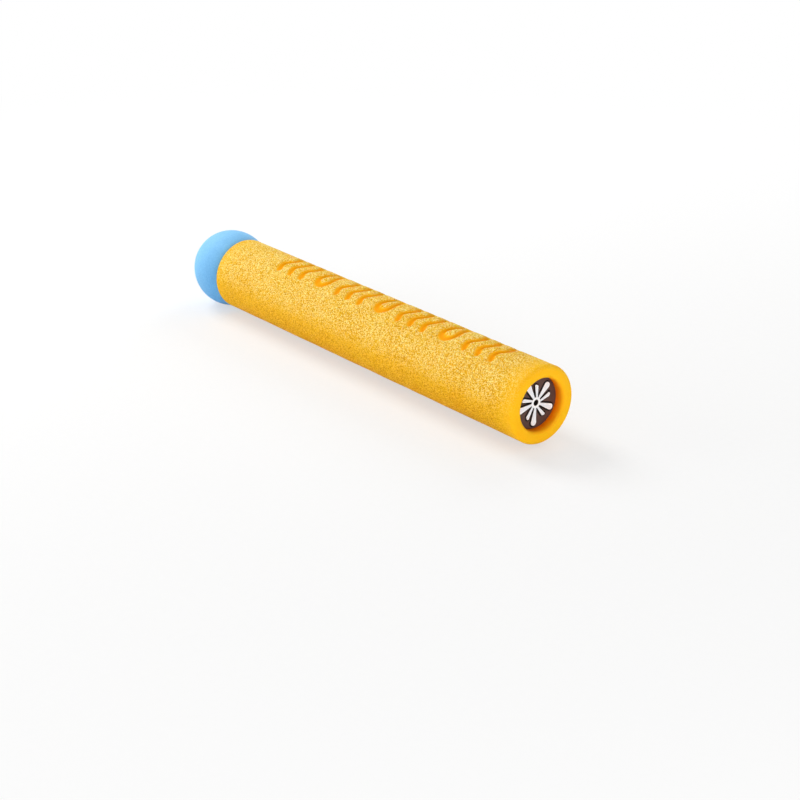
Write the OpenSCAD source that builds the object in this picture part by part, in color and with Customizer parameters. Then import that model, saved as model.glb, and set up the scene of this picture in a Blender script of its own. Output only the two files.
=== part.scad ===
// Foam water squirter: a syringe pump inside a soft foam sleeve, worked by a foam ball.
// It lies along X with its muzzle towards +X and its ball at the rear.
// The origin is on the ground, under the middle of the part. Sizes are in millimetres.

/* [Foam sleeve] */
// Outside diameter of the foam sleeve
sleeve_d = 46; // [44:0.5:56]
// Length of the foam sleeve
sleeve_len = 290; // [260:1:360]
// Rounding of the sleeve's outer edge at the muzzle
muzzle_edge_r = 2.8; // [0.5:0.1:3.2]
// Rounding of the sleeve's inner edge at the muzzle
mouth_edge_r = 2.2; // [0.3:0.1:2.4]
// Rounding of the sleeve's outer edge at the rear
rear_edge_r = 0.8; // [0.3:0.1:2]

/* [Pressed water motif] */
// Width of a pressed groove
groove_w = 4.6; // [3:0.1:5]
// Depth of a pressed groove
groove_depth = 1.8; // [0.6:0.1:2.5]
// Distance from the muzzle to the motif's front end
motif_setback = 28; // [10:1:40]
// Gap between a wave block and the drop beside it
motif_gap = 7; // [3:0.5:8]
// Overall length of a wave, which runs across the sleeve
wave_len = 25; // [23:0.5:27]
// Height of a wave's crest above its middle line
wave_rise = 1.8; // [1:0.1:2]
// Distance between the waves of one block, along the sleeve
wave_pitch = 11.4; // [9:0.1:12]
// Width of a drop's outline
drop_w = 15; // [12:0.5:17]
// Height of a drop's outline, across the sleeve
drop_h = 24; // [20:0.5:26]

/* [Barrel] */
// Outside diameter of the barrel tube
barrel_od = 28; // [26:0.5:30]
// Wall of the barrel tube
barrel_wall = 1.5; // [1:0.1:2.2]

/* [Nozzle] */
// How far the nozzle cap's face lies inside the muzzle
cap_recess = 6; // [2:0.5:10]
// Wall of the cap's skirt, round the barrel
cap_wall = 1.25; // [0.8:0.05:2]
// Thickness of the cap's face
cap_face_t = 3.2; // [2.4:0.1:5]
// Length of the cap's skirt behind its face
cap_skirt_len = 14; // [8:0.5:24]
// Rounding of the cap's front edge
cap_edge_r = 0.6; // [0.2:0.1:1]
// Diameter of the water hole
orifice_d = 3.6; // [2:0.1:4]
// Thickness of the flat gasket between cap and barrel
gasket_t = 1.5; // [0.8:0.1:3]

/* [Petals] */
// Long petals of the nozzle insert, with a short one after each
petal_pairs = 5; // [4:1:6]
// Reach of a long petal from the axis
long_reach = 13.4; // [11:0.1:13.6]
// Width of a long petal at its round end
long_w = 3.7; // [3:0.1:4.5]
// Reach of a short petal from the axis
short_reach = 10.6; // [8:0.1:11]
// Width of a short petal at its round end
short_w = 2.2; // [1.8:0.1:3]
// Width of every petal where it leaves the hub
petal_base_w = 1.1; // [0.8:0.1:1.3]
// Diameter of the hub in the middle of the petals
hub_d = 6.4; // [6:0.1:8]
// How far the petals stand out of the cap's face
petal_raise = 0.7; // [0.2:0.1:1.5]
// How deep the petals are set into the cap's face
inlay_depth = 1; // [0.5:0.1:1.6]
// Width of the groove that is left round the petals in the cap's face
petal_moat = 0.9; // [0.1:0.05:1]

/* [Rod guide] */
// Thickness of the guide's flange, behind the barrel
guide_flange_t = 2.5; // [1.5:0.1:5]
// Length of the guide's spigot inside the barrel
guide_spigot_len = 14; // [8:0.5:30]

/* [Plunger] */
// Outside diameter of the plunger tube
rod_od = 14; // [11:0.5:16]
// Wall of the plunger tube
rod_wall = 1.6; // [1:0.1:2.2]
// Length of the piston head
piston_len = 16; // [13:0.5:24]
// Length of the piston's spigot inside the plunger tube
piston_spigot_len = 18; // [10:0.5:30]
// Wall of the piston's hollow spigot
piston_spigot_wall = 1.6; // [1:0.1:2.2]
// Thickness of a piston ring's round section
ring_t = 2.4; // [1.8:0.1:3]
// Land between a piston ring's groove and the piston's end
ring_land = 2.2; // [1.5:0.1:3]
// Gap left in front of the piston when the plunger is pushed home
piston_rest_gap = 1; // [0.5:0.1:4]

/* [Ball grip] */
// Diameter of the foam ball
ball_d = 50; // [46:0.5:56]
// How far the ball's centre lies behind the sleeve's rear face
ball_stand = 16; // [14:0.5:20]
// How far the plunger tube reaches past the ball's centre
rod_past_centre = 3; // [0:0.5:6]
// Diameter of the handle core's collar, at the tube's end
collar_d = 20; // [18:0.5:26]
// Thickness of the handle core's collar
collar_t = 2; // [1.2:0.1:3]
// Length of the handle core's spigot inside the plunger tube
core_spigot_len = 16; // [8:0.5:26]
// Diameter of the handle core's barbs
barb_d = 13; // [11:0.5:15]
// Diameter of the handle core's stem, between the barbs
stem_d = 8; // [6:0.5:9]
// Length of one barb
barb_len = 4; // [2.5:0.1:4.5]
// Number of barbs
barb_count = 3; // [1:1:3]

/* [Fits] */
// Gap of a glued or pressed seat, all round
seat_gap = 0.1; // [0.02:0.01:0.2]
// Gap between the plunger tube and its guide, all round
run_gap = 0.08; // [0.02:0.01:0.1]
// Gap at a piston ring, to its groove and to the barrel
ring_gap = 0.06; // [0.02:0.01:0.1]
// Gap between the piston head and the barrel
piston_gap = 0.35; // [0.2:0.05:0.5]
// Gap between the resting ball and what it nests in
ball_gap = 0.3; // [0.1:0.05:0.6]
// Room left between piston and guide with the plunger pulled out
stop_gap = 0.5; // [0.2:0.1:2]

/* [Hidden] */

// Fineness of the preview, of a drawn arc and of a drawn wave
$fn = 96;
arc_steps = 10;
wave_steps = 14;
// Overrun of every cut past the face that it opens
overrun = 1;

// Waves of one block, periods of one wave, and drops of the motif
waves_per_block = 3;
wave_periods = 1.25;
drop_count = 3;
// Tip of a drop as a share of the groove, and the swirl of a short petal
drop_tip_share = 1.1;
short_swirl_deg = 16;
// Turn of the whole flower about the barrel's axis
flower_turn_deg = 65;

// Radii worked out from the driving sizes
sleeve_r = sleeve_d / 2;
barrel_r = barrel_od / 2;
bore_r = barrel_r - barrel_wall;
cap_r = barrel_r + seat_gap + cap_wall;
orifice_r = orifice_d / 2;
rod_r = rod_od / 2;
rod_bore_r = rod_r - rod_wall;
ball_r = ball_d / 2;
piston_r = bore_r - piston_gap;
ring_middle_r = bore_r - ring_gap - ring_t / 2;
ring_groove_r = ring_middle_r - ring_t / 2 - ring_gap;
ring_groove_w = ring_t + 2 * ring_gap;

// Places along X, from the muzzle back to the ball
overall_len = sleeve_len + ball_stand + ball_r;
axis_z = max(ball_r, sleeve_r);
muzzle_x = overall_len / 2;
rear_x = muzzle_x - sleeve_len;
ball_x = rear_x - ball_stand;
cap_front_x = muzzle_x - cap_recess;
cap_inner_x = cap_front_x - cap_face_t;
barrel_front_x = cap_inner_x - gasket_t;
guide_rear_x = ball_x + ball_r + ball_gap;
barrel_rear_x = guide_rear_x + guide_flange_t;
guide_front_x = barrel_rear_x + guide_spigot_len;
piston_front_x = cap_inner_x - piston_rest_gap;
piston_rear_x = piston_front_x - piston_len;
front_ring_x = piston_front_x - ring_land - ring_groove_w / 2;
rear_ring_x = piston_rear_x + ring_land + ring_groove_w / 2;
rod_rear_x = ball_x - rod_past_centre;
barbs_len = barb_len * barb_count;
stroke = piston_rear_x - guide_front_x - stop_gap;
echo(overall_len = overall_len, axis_z = axis_z, muzzle_x = muzzle_x, ball_x = ball_x, stroke = stroke);

// Motif: wave blocks with a drop between neighbours, counted back from the muzzle
motif_front_x = muzzle_x - motif_setback;
block_len = (waves_per_block - 1) * wave_pitch + 2 * wave_rise + groove_w;
motif_step = block_len + drop_w + 2 * motif_gap;

// Stands a shape that is drawn along Z on the barrel's axis, running towards the muzzle from x
module along_axis(x) {
    translate([x, 0, axis_z]) rotate([0, 90, 0]) children();
}

// A straight round length of radius r between two places on the axis
module length_of(r, from_x, to_x) {
    along_axis(from_x) cylinder(r = r, h = to_x - from_x);
}

// What a rounded corner at [r, y] of a turned profile loses: out is 1 at the outside and -1 in a bore,
// up is 1 at the muzzle end and -1 at the rear
module corner_cut(r, y, round_r, out, up) {
    w = round_r + overrun;
    translate([r - out * round_r, y - up * round_r]) difference() {
        translate([out > 0 ? 0 : -w, up > 0 ? 0 : -w]) square(w);
        circle(r = round_r);
    }
}

// Outline of a big and a small circle on the X axis with their common tangents, as for a petal or a drop
function teardrop(big_x, big_r, small_x, small_r) =
    let (g = acos((small_r - big_r) / (big_x - small_x)))
    concat(
        [for (i = [0:arc_steps]) let (a = -g + 2 * g * i / arc_steps)
            [big_x + big_r * cos(a), big_r * sin(a)]],
        [for (i = [0:arc_steps]) let (a = g + (360 - 2 * g) * i / arc_steps)
            [small_x + small_r * cos(a), small_r * sin(a)]]
    );

// Turns each point of an outline about the axis, by half of turn_deg back at the hub and forward at reach
function swirled(points, turn_deg, reach) =
    [for (p = points) let (a = turn_deg * (pow(norm(p) / reach, 2) - 1 / 2))
        [p[0] * cos(a) - p[1] * sin(a), p[0] * sin(a) + p[1] * cos(a)]];

// Middle line of a wave and its slope, with t running from 0 to 1
wave_line_len = wave_len - groove_w;
function wave_at(t) = [wave_line_len * (t - 1 / 2), wave_rise * sin(360 * wave_periods * t)];
function wave_slope(t) =
    atan2(2 * PI * wave_periods * wave_rise * cos(360 * wave_periods * t), wave_line_len);
function around(centre, r, a) = centre + r * [cos(a), sin(a)];

// Outline of a wave as a stroke of the groove's width with round ends
function wave_outline() =
    let (r = groove_w / 2, first = wave_slope(0), last = wave_slope(1))
    concat(
        [for (i = [0:wave_steps]) let (t = i / wave_steps) around(wave_at(t), r, wave_slope(t) + 90)],
        [for (i = [1:arc_steps - 1]) around(wave_at(1), r, last + 90 - 180 * i / arc_steps)],
        [for (i = [0:wave_steps]) let (t = 1 - i / wave_steps) around(wave_at(t), r, wave_slope(t) - 90)],
        [for (i = [1:arc_steps - 1]) around(wave_at(0), r, first - 90 - 180 * i / arc_steps)]
    );

// One block of waves that run across the sleeve, centred on x
module wave_block(x) {
    for (i = [0:waves_per_block - 1])
        translate([x + wave_pitch * (i - (waves_per_block - 1) / 2), 0]) rotate(90) polygon(wave_outline());
}

// One drop drawn as an outline, centred on x, with its tip towards +Y
module drop_outline(x) {
    big_r = drop_w / 2;
    tip_r = groove_w * drop_tip_share;
    tip_y = drop_h / 2 - tip_r;
    round_y = drop_h / 2 - big_r;
    translate([x, 0]) rotate(-90) difference() {
        polygon(teardrop(round_y, big_r, -tip_y, tip_r));
        polygon(teardrop(round_y, big_r - groove_w, -tip_y, tip_r - groove_w));
    }
}

// The whole motif as seen from above
module motif() {
    for (i = [0:drop_count]) wave_block(motif_front_x - block_len / 2 - i * motif_step);
    for (i = [0:drop_count - 1])
        drop_outline(motif_front_x - block_len - motif_gap - drop_w / 2 - i * motif_step);
}

// Soft closed-cell foam tube with the motif pressed into its top and a dished mouth for the ball
module foam_sleeve() {
    tunnel_r = barrel_r + seat_gap;
    cap_seat_r = cap_r + seat_gap;
    cap_seat_y = cap_inner_x - cap_skirt_len - rear_x;
    color("orange") difference() {
        along_axis(rear_x) rotate_extrude() difference() {
            translate([tunnel_r, 0]) square([sleeve_r - tunnel_r, sleeve_len]);
            translate([0, cap_seat_y]) square([cap_seat_r, sleeve_len - cap_seat_y + overrun]);
            corner_cut(sleeve_r, sleeve_len, muzzle_edge_r, 1, 1);
            corner_cut(sleeve_r, 0, rear_edge_r, 1, -1);
            corner_cut(cap_seat_r, sleeve_len, mouth_edge_r, -1, 1);
        }
        translate([ball_x, 0, axis_z]) sphere(r = ball_r + ball_gap);
        intersection() {
            translate([0, 0, axis_z]) linear_extrude(height = sleeve_d) motif();
            along_axis(rear_x) difference() {
                cylinder(r = sleeve_r + overrun, h = sleeve_len);
                translate([0, 0, -overrun])
                    cylinder(r = sleeve_r - groove_depth, h = sleeve_len + 2 * overrun);
            }
        }
    }
}

// Plain extruded tube that the piston runs in
module barrel_tube() {
    color("whitesmoke") difference() {
        length_of(barrel_r, barrel_rear_x, barrel_front_x);
        length_of(bore_r, barrel_rear_x - overrun, barrel_front_x + overrun);
    }
}

// The flower in plan: a hub, long petals and short swirled petals between them, grown by a gap all round
module flower(grow) {
    base_x = hub_d / 2 - petal_base_w / 2;
    step_deg = 360 / petal_pairs;
    circle(r = hub_d / 2 + grow);
    for (i = [0:petal_pairs - 1]) rotate(flower_turn_deg + i * step_deg) {
        polygon(teardrop(long_reach - long_w / 2, long_w / 2 + grow, base_x, petal_base_w / 2 + grow));
        rotate(step_deg / 2) polygon(swirled(
            teardrop(short_reach - short_w / 2, short_w / 2 + grow, base_x, petal_base_w / 2 + grow),
            short_swirl_deg, short_reach
        ));
    }
}

// Black cap over the barrel's front end, with a flower-shaped pocket in its face and a hole for the insert
module nozzle_cap() {
    color("dimgray") difference() {
        along_axis(cap_inner_x - cap_skirt_len) rotate_extrude() difference() {
            square([cap_r, cap_skirt_len + cap_face_t]);
            corner_cut(cap_r, cap_skirt_len + cap_face_t, cap_edge_r, 1, 1);
        }
        length_of(barrel_r + seat_gap, cap_inner_x - cap_skirt_len - overrun, cap_inner_x);
        length_of(hub_d / 2 + seat_gap, cap_inner_x - overrun, cap_front_x + overrun);
        along_axis(cap_front_x - inlay_depth)
            linear_extrude(height = inlay_depth + overrun) flower(petal_moat);
    }
}

// White insert: the flower that shows on the cap, and the tube with the water hole
module petal_nozzle() {
    color("white") difference() {
        union() {
            along_axis(cap_front_x - inlay_depth)
                linear_extrude(height = inlay_depth + petal_raise) flower(0);
            length_of(hub_d / 2, cap_inner_x, cap_front_x);
        }
        length_of(orifice_r, cap_inner_x - overrun, cap_front_x + petal_raise + overrun);
    }
}

// Flat rubber ring that seals the cap on the barrel's end
module cap_gasket() {
    color("black") difference() {
        length_of(barrel_r, barrel_front_x, cap_inner_x);
        length_of(bore_r, barrel_front_x - overrun, cap_inner_x + overrun);
    }
}

// Flanged bush in the barrel's rear end: it guides the plunger tube and keeps the piston in
module rod_guide() {
    color("whitesmoke") difference() {
        union() {
            length_of(barrel_r, guide_rear_x, barrel_rear_x);
            length_of(bore_r - seat_gap, guide_rear_x, guide_front_x);
        }
        length_of(rod_r + run_gap, guide_rear_x - overrun, guide_front_x + overrun);
    }
}

// Hollow plunger tube from the piston to the middle of the ball
module plunger_tube() {
    color("white") difference() {
        length_of(rod_r, rod_rear_x, piston_rear_x);
        length_of(rod_bore_r, rod_rear_x - overrun, piston_rear_x + overrun);
    }
}

// Groove of one piston ring, centred on x
module ring_groove(x) {
    difference() {
        length_of(bore_r, x - ring_groove_w / 2, x + ring_groove_w / 2);
        length_of(ring_groove_r, x - ring_groove_w, x + ring_groove_w);
    }
}

// Piston with two ring grooves and a hollow spigot in the plunger tube
module piston_head() {
    spigot_r = rod_bore_r - seat_gap;
    color("dimgray") difference() {
        union() {
            length_of(piston_r, piston_rear_x, piston_front_x);
            length_of(spigot_r, piston_rear_x - piston_spigot_len, piston_rear_x + overrun);
        }
        length_of(
            spigot_r - piston_spigot_wall, piston_rear_x - piston_spigot_len - overrun, piston_rear_x
        );
        ring_groove(front_ring_x);
        ring_groove(rear_ring_x);
    }
}

// Round rubber ring in a piston groove, centred on x
module piston_ring(x) {
    color("black") along_axis(x) rotate_extrude() translate([ring_middle_r, 0]) circle(r = ring_t / 2);
}

// Outside of the handle core behind the plunger tube, grown by a gap all round
module core_outside(grow) {
    length_of(collar_d / 2 + grow, rod_rear_x - collar_t, rod_rear_x);
    length_of(stem_d / 2 + grow, rod_rear_x - collar_t - barbs_len - grow, rod_rear_x - collar_t / 2);
    for (i = [1:barb_count])
        along_axis(rod_rear_x - collar_t - i * barb_len - grow)
            cylinder(r1 = stem_d / 2 + grow, r2 = barb_d / 2 + grow, h = barb_len + grow);
}

// Barbed core that closes the plunger tube and holds the ball
module handle_core() {
    color("whitesmoke") union() {
        core_outside(0);
        length_of(rod_bore_r - seat_gap, rod_rear_x - collar_t / 2, rod_rear_x + core_spigot_len);
    }
}

// Foam ball with a socket for the plunger tube and the handle core
module ball_grip() {
    color("deepskyblue") difference() {
        translate([ball_x, 0, axis_z]) sphere(r = ball_r);
        length_of(rod_r + seat_gap, rod_rear_x - collar_t / 2, ball_x + ball_r + overrun);
        core_outside(seat_gap);
    }
}

foam_sleeve();
barrel_tube();
nozzle_cap();
petal_nozzle();
cap_gasket();
rod_guide();
plunger_tube();
piston_head();
piston_ring(front_ring_x);  // front_piston_ring
piston_ring(rear_ring_x);  // rear_piston_ring
handle_core();
ball_grip();
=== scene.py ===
# %% [markdown]
# # A foam water squirter
# The toy is a syringe pump in a soft coat: a foam sleeve hides the barrel, and a foam ball is the plunger's
# grip. The CAD model is loaded first and stays as it is, as the frame for everything else.
# A CAD node with the right shape only gets a finish here. The two foam pieces and the nozzle's petals
# have softer shapes than their solids, so each of them gets a mesh of its own in the same place.

# %% Load the CAD frame
import math

import bmesh
import bpy
import numpy as np
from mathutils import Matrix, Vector, noise


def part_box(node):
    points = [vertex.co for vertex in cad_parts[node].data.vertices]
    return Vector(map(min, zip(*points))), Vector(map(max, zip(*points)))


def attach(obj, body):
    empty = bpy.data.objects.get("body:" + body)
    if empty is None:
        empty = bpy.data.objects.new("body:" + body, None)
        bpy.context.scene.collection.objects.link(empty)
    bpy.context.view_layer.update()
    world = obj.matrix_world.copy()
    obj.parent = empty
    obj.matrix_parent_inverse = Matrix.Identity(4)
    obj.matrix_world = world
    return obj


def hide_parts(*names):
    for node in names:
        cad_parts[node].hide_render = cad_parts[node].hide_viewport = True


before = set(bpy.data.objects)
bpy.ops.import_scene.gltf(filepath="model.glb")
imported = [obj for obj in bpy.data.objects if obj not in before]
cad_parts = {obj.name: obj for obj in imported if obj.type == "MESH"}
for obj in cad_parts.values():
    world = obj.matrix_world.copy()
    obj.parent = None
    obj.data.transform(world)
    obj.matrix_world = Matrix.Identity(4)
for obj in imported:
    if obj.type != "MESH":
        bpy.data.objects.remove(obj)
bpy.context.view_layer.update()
MM = 0.001

# %% [markdown]
# The camera stands in front of the muzzle, off to the side and a little above, with a long lens.
# Its place comes from fitting the sleeve's sides, its two end circles and the ball to the photograph.
# A long lens from a metre away keeps the tube's taper as slight as it is there.

# %% Camera
LENS_MM = 81
CAMERA_PLACE = Vector((0.8265, -0.6222, 0.4017))
CAMERA_AIM = Vector((0.0618, -0.0171, -0.0008))
scene = bpy.context.scene
camera = bpy.data.objects.new("camera", bpy.data.cameras.new("camera"))
camera.data.lens = LENS_MM
camera.location = CAMERA_PLACE
camera.rotation_mode = "QUATERNION"
camera.rotation_quaternion = (CAMERA_AIM - CAMERA_PLACE).to_track_quat("-Z", "Y")
scene.collection.objects.link(camera)
scene.camera = camera
scene.view_settings.view_transform = "Standard"
print("camera to aim in mm:", round((CAMERA_AIM - CAMERA_PLACE).length / MM))

# %% [markdown]
# Every material and every geometry tree below is a graph of nodes, and adding a node is always the same work:
# choose its kind, set its properties, fill its inputs. One function does that for all of them.
# An input takes a plain value, a socket, or a node, which then gives its first output.
# Colours are written as sRGB hex, as in a paint program, and Blender's sockets want linear light.

# %% One function for every node, one for every colour
def wire(tree, node, links):
    for key, value in links.items():
        in_use = [s for s in node.inputs if s.enabled]
        socket = in_use[key] if isinstance(key, int) else next(s for s in in_use if s.name == key)
        if isinstance(value, bpy.types.Node):
            value = next(s for s in value.outputs if s.enabled)
        if isinstance(value, bpy.types.NodeSocket):
            tree.links.new(value, socket)
        else:
            socket.default_value = value
    return node


def add(tree, kind, links=None, **settings):
    node = tree.nodes.new(kind)
    for name, value in settings.items():
        setattr(node, name, value)
    return wire(tree, node, links or {})


def srgb(code):
    channels = [int(code[i:i + 2], 16) / 255 for i in (0, 2, 4)]
    return tuple(c / 12.92 if c <= 0.04045 else ((c + 0.055) / 1.055) ** 2.4 for c in channels) + (1.0,)


# The kinds and the setting that come up most, under short names
MATH = "ShaderNodeMath"
VECTOR_MATH = "ShaderNodeVectorMath"
COMBINE = "ShaderNodeCombineXYZ"
SEPARATE = "ShaderNodeSeparateXYZ"
RANGE = "ShaderNodeMapRange"
MIX = "ShaderNodeMix"
NOISE = "ShaderNodeTexNoise"
SMOOTH = {"interpolation_type": "SMOOTHSTEP"}
print("mid grey 808080 is linear", round(srgb("808080")[0], 3))

# %% [markdown]
# The stage is a pale floor that runs out to white, so that no horizon shows behind the toy.
# A brighter lamp would also bleach the foam. Instead the floor turns to plain white away from the toy,
# and only for rays that end in the picture: those from the camera, and those from a mirror or through glass.
# All other rays meet the pale floor itself, which keeps the shadow and throws light back at the toy.

# %% Floor
FLOOR_HALF = 6.0
FLOOR_CORNERS = ((-1, -1), (1, -1), (1, 1), (-1, 1))
FADE_FROM, FADE_TO, NEAR_WHITE = 0.20, 0.80, 0.55
PAPER_FIBRE = 4 * MM


def ends_in_picture(tree):
    rays = add(tree, "ShaderNodeLightPath").outputs
    seen = add(tree, MATH, {0: rays["Is Camera Ray"], 1: rays["Is Glossy Ray"]}, operation="MAXIMUM")
    return add(tree, MATH, {0: seen, 1: rays["Is Transmission Ray"]}, operation="MAXIMUM")


floor_mesh = bpy.data.meshes.new("floor")
floor_mesh.from_pydata([(x * FLOOR_HALF, y * FLOOR_HALF, 0) for x, y in FLOOR_CORNERS], [], [(0, 1, 2, 3)])
floor = bpy.data.objects.new("floor", floor_mesh)
scene.collection.objects.link(floor)

paper = bpy.data.materials.new("white_backdrop_paper")
paper.use_nodes = True
tree = paper.node_tree
tree.nodes.clear()
place = add(tree, "ShaderNodeTexCoord").outputs["Object"]
away = add(tree, VECTOR_MATH, {0: place}, operation="LENGTH").outputs["Value"]
fade = add(tree, RANGE, {"Value": away, "From Min": FADE_FROM, "From Max": FADE_TO}, **SMOOTH)
veil = add(tree, RANGE, {"Value": fade, "To Min": NEAR_WHITE, "To Max": 1.0})
fibres = add(tree, NOISE, {"Vector": place, "Scale": 1 / PAPER_FIBRE})
tint = add(tree, MIX, {"Factor": fibres, "A": srgb("F4F4F3"), "B": srgb("F8F8F8")}, data_type="RGBA")
mix = add(tree, "ShaderNodeMixShader", {
    0: add(tree, MATH, {0: veil, 1: ends_in_picture(tree)}, operation="MULTIPLY"),
    1: add(tree, "ShaderNodeBsdfDiffuse", {"Color": tint}),
    2: add(tree, "ShaderNodeEmission", {"Color": srgb("FFFFFF"), "Strength": 1.0}),
})
add(tree, "ShaderNodeOutputMaterial", {"Surface": mix})
floor_mesh.materials.append(paper)
print("floor is white from", FADE_TO, "m out")

# %% [markdown]
# The light is plain and soft: an even white sky, a broad lamp above the ball's end, and three weaker lamps,
# in front of the muzzle, low along the near side, and behind the toy for its far edge.
# The broad lamp stands well past the ball, so that every pressed line has a bright wall and a shaded one.
# Together they give an upward face about as much light as makes a colour come out as it is written.
# A lamp's power for that follows from its distance, because a matt face shows power / (pi * distance) ** 2.

# %% Light
SKY = 0.45
# Each lamp has its place, the side of its square, and its share of that light
LAMPS = {
    "key_lamp": ((-1.30, -0.22, 1.30), 0.9, 0.55),
    "front_lamp": ((1.60, -0.80, 0.32), 0.5, 0.40),
    "side_lamp": ((-0.55, -0.85, 0.30), 0.5, 0.20),
    "back_lamp": ((-0.50, 1.20, 0.90), 0.7, 0.22),
}
world = bpy.data.worlds.new("white_sky")
world.use_nodes = True
scene.world = world
tree = world.node_tree
level = add(tree, RANGE, {"Value": ends_in_picture(tree), "To Min": SKY, "To Max": 1.0})
wire(tree, tree.nodes["Background"], {"Color": srgb("FFFFFF"), "Strength": level})
for name, (where, side, share) in LAMPS.items():
    lamp = bpy.data.objects.new(name, bpy.data.lights.new(name, "AREA"))
    lamp.data.size = side
    lamp.location = where
    lamp.data.energy = share * (math.pi * Vector(where).length) ** 2
    lamp.rotation_mode = "QUATERNION"
    lamp.rotation_quaternion = (-Vector(where)).to_track_quat("-Z", "Y")
    scene.collection.objects.link(lamp)
    print(name, round(lamp.data.energy, 2), "W")

# %% [markdown]
# A turned piece is a profile carried round the barrel's axis. Spin or a Screw modifier could turn it,
# but the sleeve needs fine columns only where its top is pressed, so a small function turns any profile
# through a list of angles, and lets foam be a little uneven, as foam is.
# A profile that starts and ends on the axis closes at its poles. The others close on themselves.

# %% A function that turns a profile
SEED_OFFSET = Vector((3.1, 7.7, 1.9))
WELD = 1e-7


def turned(name, profile, angles, lumps, **marks):
    rows, columns = len(profile), len(angles)
    x, r = np.array(profile).T[:, :, None]
    a = np.radians(angles)
    size, depth, where = lumps
    dents = np.array([
        noise.noise(Vector((px, pr * math.sin(t), pr * math.cos(t))) / size + SEED_OFFSET)
        for px, pr in profile for t in a
    ]).reshape(rows, columns)
    r = r + depth * np.array(where)[:, None] * (dents - 1) / 2
    points = np.stack([np.repeat(x, columns, axis=1), r * np.sin(a), axis_z + r * np.cos(a)], axis=-1)
    loop = profile[0][1] > 0
    i, j = np.meshgrid(np.arange(rows if loop else rows - 1), np.arange(columns), indexing="ij")
    i2, j2 = (i + 1) % rows, (j + 1) % columns
    quads = np.stack([i * columns + j, i2 * columns + j, i2 * columns + j2, i * columns + j2], axis=-1)
    mesh = bpy.data.meshes.new(name)
    mesh.from_pydata(points.reshape(-1, 3).tolist(), [], quads.reshape(-1, 4).tolist())
    for mark, values in marks.items():
        layer = mesh.attributes.new(mark, "FLOAT", "POINT")
        layer.data.foreach_set("value", np.repeat(np.array(values, np.float32), columns))
    work = bmesh.new()
    work.from_mesh(mesh)
    bmesh.ops.remove_doubles(work, verts=work.verts, dist=WELD)
    bmesh.ops.recalc_face_normals(work, faces=work.faces)
    work.to_mesh(mesh)
    work.free()
    mesh.polygons.foreach_set("use_smooth", [True] * len(mesh.polygons))
    return mesh


def arc(x, r, radius, start, end, steps):
    return [
        (x + radius * math.cos(t), r + radius * math.sin(t))
        for t in np.radians(np.linspace(start, end, steps + 1))
    ]


sleeve_low, sleeve_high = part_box("foam_sleeve")
ball_low, ball_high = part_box("ball_grip")
axis_z = (ball_low.z + ball_high.z) / 2
print("barrel axis is", round(axis_z / MM, 2), "mm above the floor")

# %% [markdown]
# The sleeve is polyethylene foam, blown and pulled through a die as a tube. Its skin is a crust of cells
# about half a millimetre across, each a tiny dome that catches the light: pale grain on deep orange.
# Where a hot tool pressed it or cut it, the cells have melted into a smooth film of a stronger orange.
# The cells could be modelled, but they are finer than the mesh, so they are bump and colour in the material.
# The mesh carries four marks for it: "pressed" where a line is pressed, "depth" for how deep the point lies,
# "cut" towards the cut ends, and "mouth" for the wall in front of the cap.

# %% Orange foam
FOAM_CELL, CELL_HEIGHT, FOAM_CLOUD = 0.45 * MM, 0.12 * MM, 22 * MM
# Heights below and above the axis over which the top's painted light grows, and how far below it the painted
# shade is full
PAINTED_LIGHT_BELOW, PAINTED_LIGHT_ABOVE, PAINTED_SHADE_BELOW = 2 * MM, 9 * MM, 16 * MM
# Blender's noise mostly stays between these two
NOISE_LOW, NOISE_HIGH = 0.3, 0.7


def new_material(name):
    made = bpy.data.materials.new(name)
    made.use_nodes = True
    tree = made.node_tree
    return made, tree, tree.nodes["Principled BSDF"], add(tree, "ShaderNodeTexCoord").outputs["Object"]


orange_foam, tree, shader, place = new_material("orange_polyethylene_foam_blown")
cells = add(tree, "ShaderNodeTexVoronoi", {"Vector": place, "Scale": 1 / FOAM_CELL}).outputs
luck = add(tree, "ShaderNodeSeparateColor", {"Color": cells["Color"]}).outputs["Red"]
dome = add(tree, RANGE, {"Value": cells["Distance"], "From Min": 0.65, "From Max": 0.1}, **SMOOTH)
pressed, depth, cut, mouth = (
    add(tree, "ShaderNodeAttribute", attribute_name=mark).outputs["Fac"]
    for mark in ("pressed", "depth", "cut", "mouth")
)
melted = add(tree, MATH, {0: pressed, 1: cut}, operation="MAXIMUM")
# Painted light and shade: the upper side is painted paler, with more cream on its cells, and the lower side
# darker and stronger orange
height = add(tree, SEPARATE, {0: place}).outputs["Z"]
painted_top_light = add(tree, RANGE, {
    "Value": height, "From Min": axis_z - PAINTED_LIGHT_BELOW, "From Max": axis_z + PAINTED_LIGHT_ABOVE,
    "To Min": 0.22, "To Max": 1.3})
painted_low_shade = add(tree, RANGE, {
    "Value": height, "From Min": axis_z - PAINTED_SHADE_BELOW, "From Max": axis_z, "To Min": -0.32, "To Max": 0.0})
cloud = add(tree, NOISE, {"Vector": place, "Scale": 1 / FOAM_CLOUD, "Detail": 3.0})
drift = add(tree, RANGE, {
    "Value": cloud, "From Min": NOISE_LOW, "From Max": NOISE_HIGH, "To Min": -0.06, "To Max": 0.06})
tone = add(tree, MATH, {0: luck, 1: painted_low_shade}, operation="ADD")
tone = add(tree, MATH, {0: tone, 1: drift}, operation="ADD")
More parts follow.
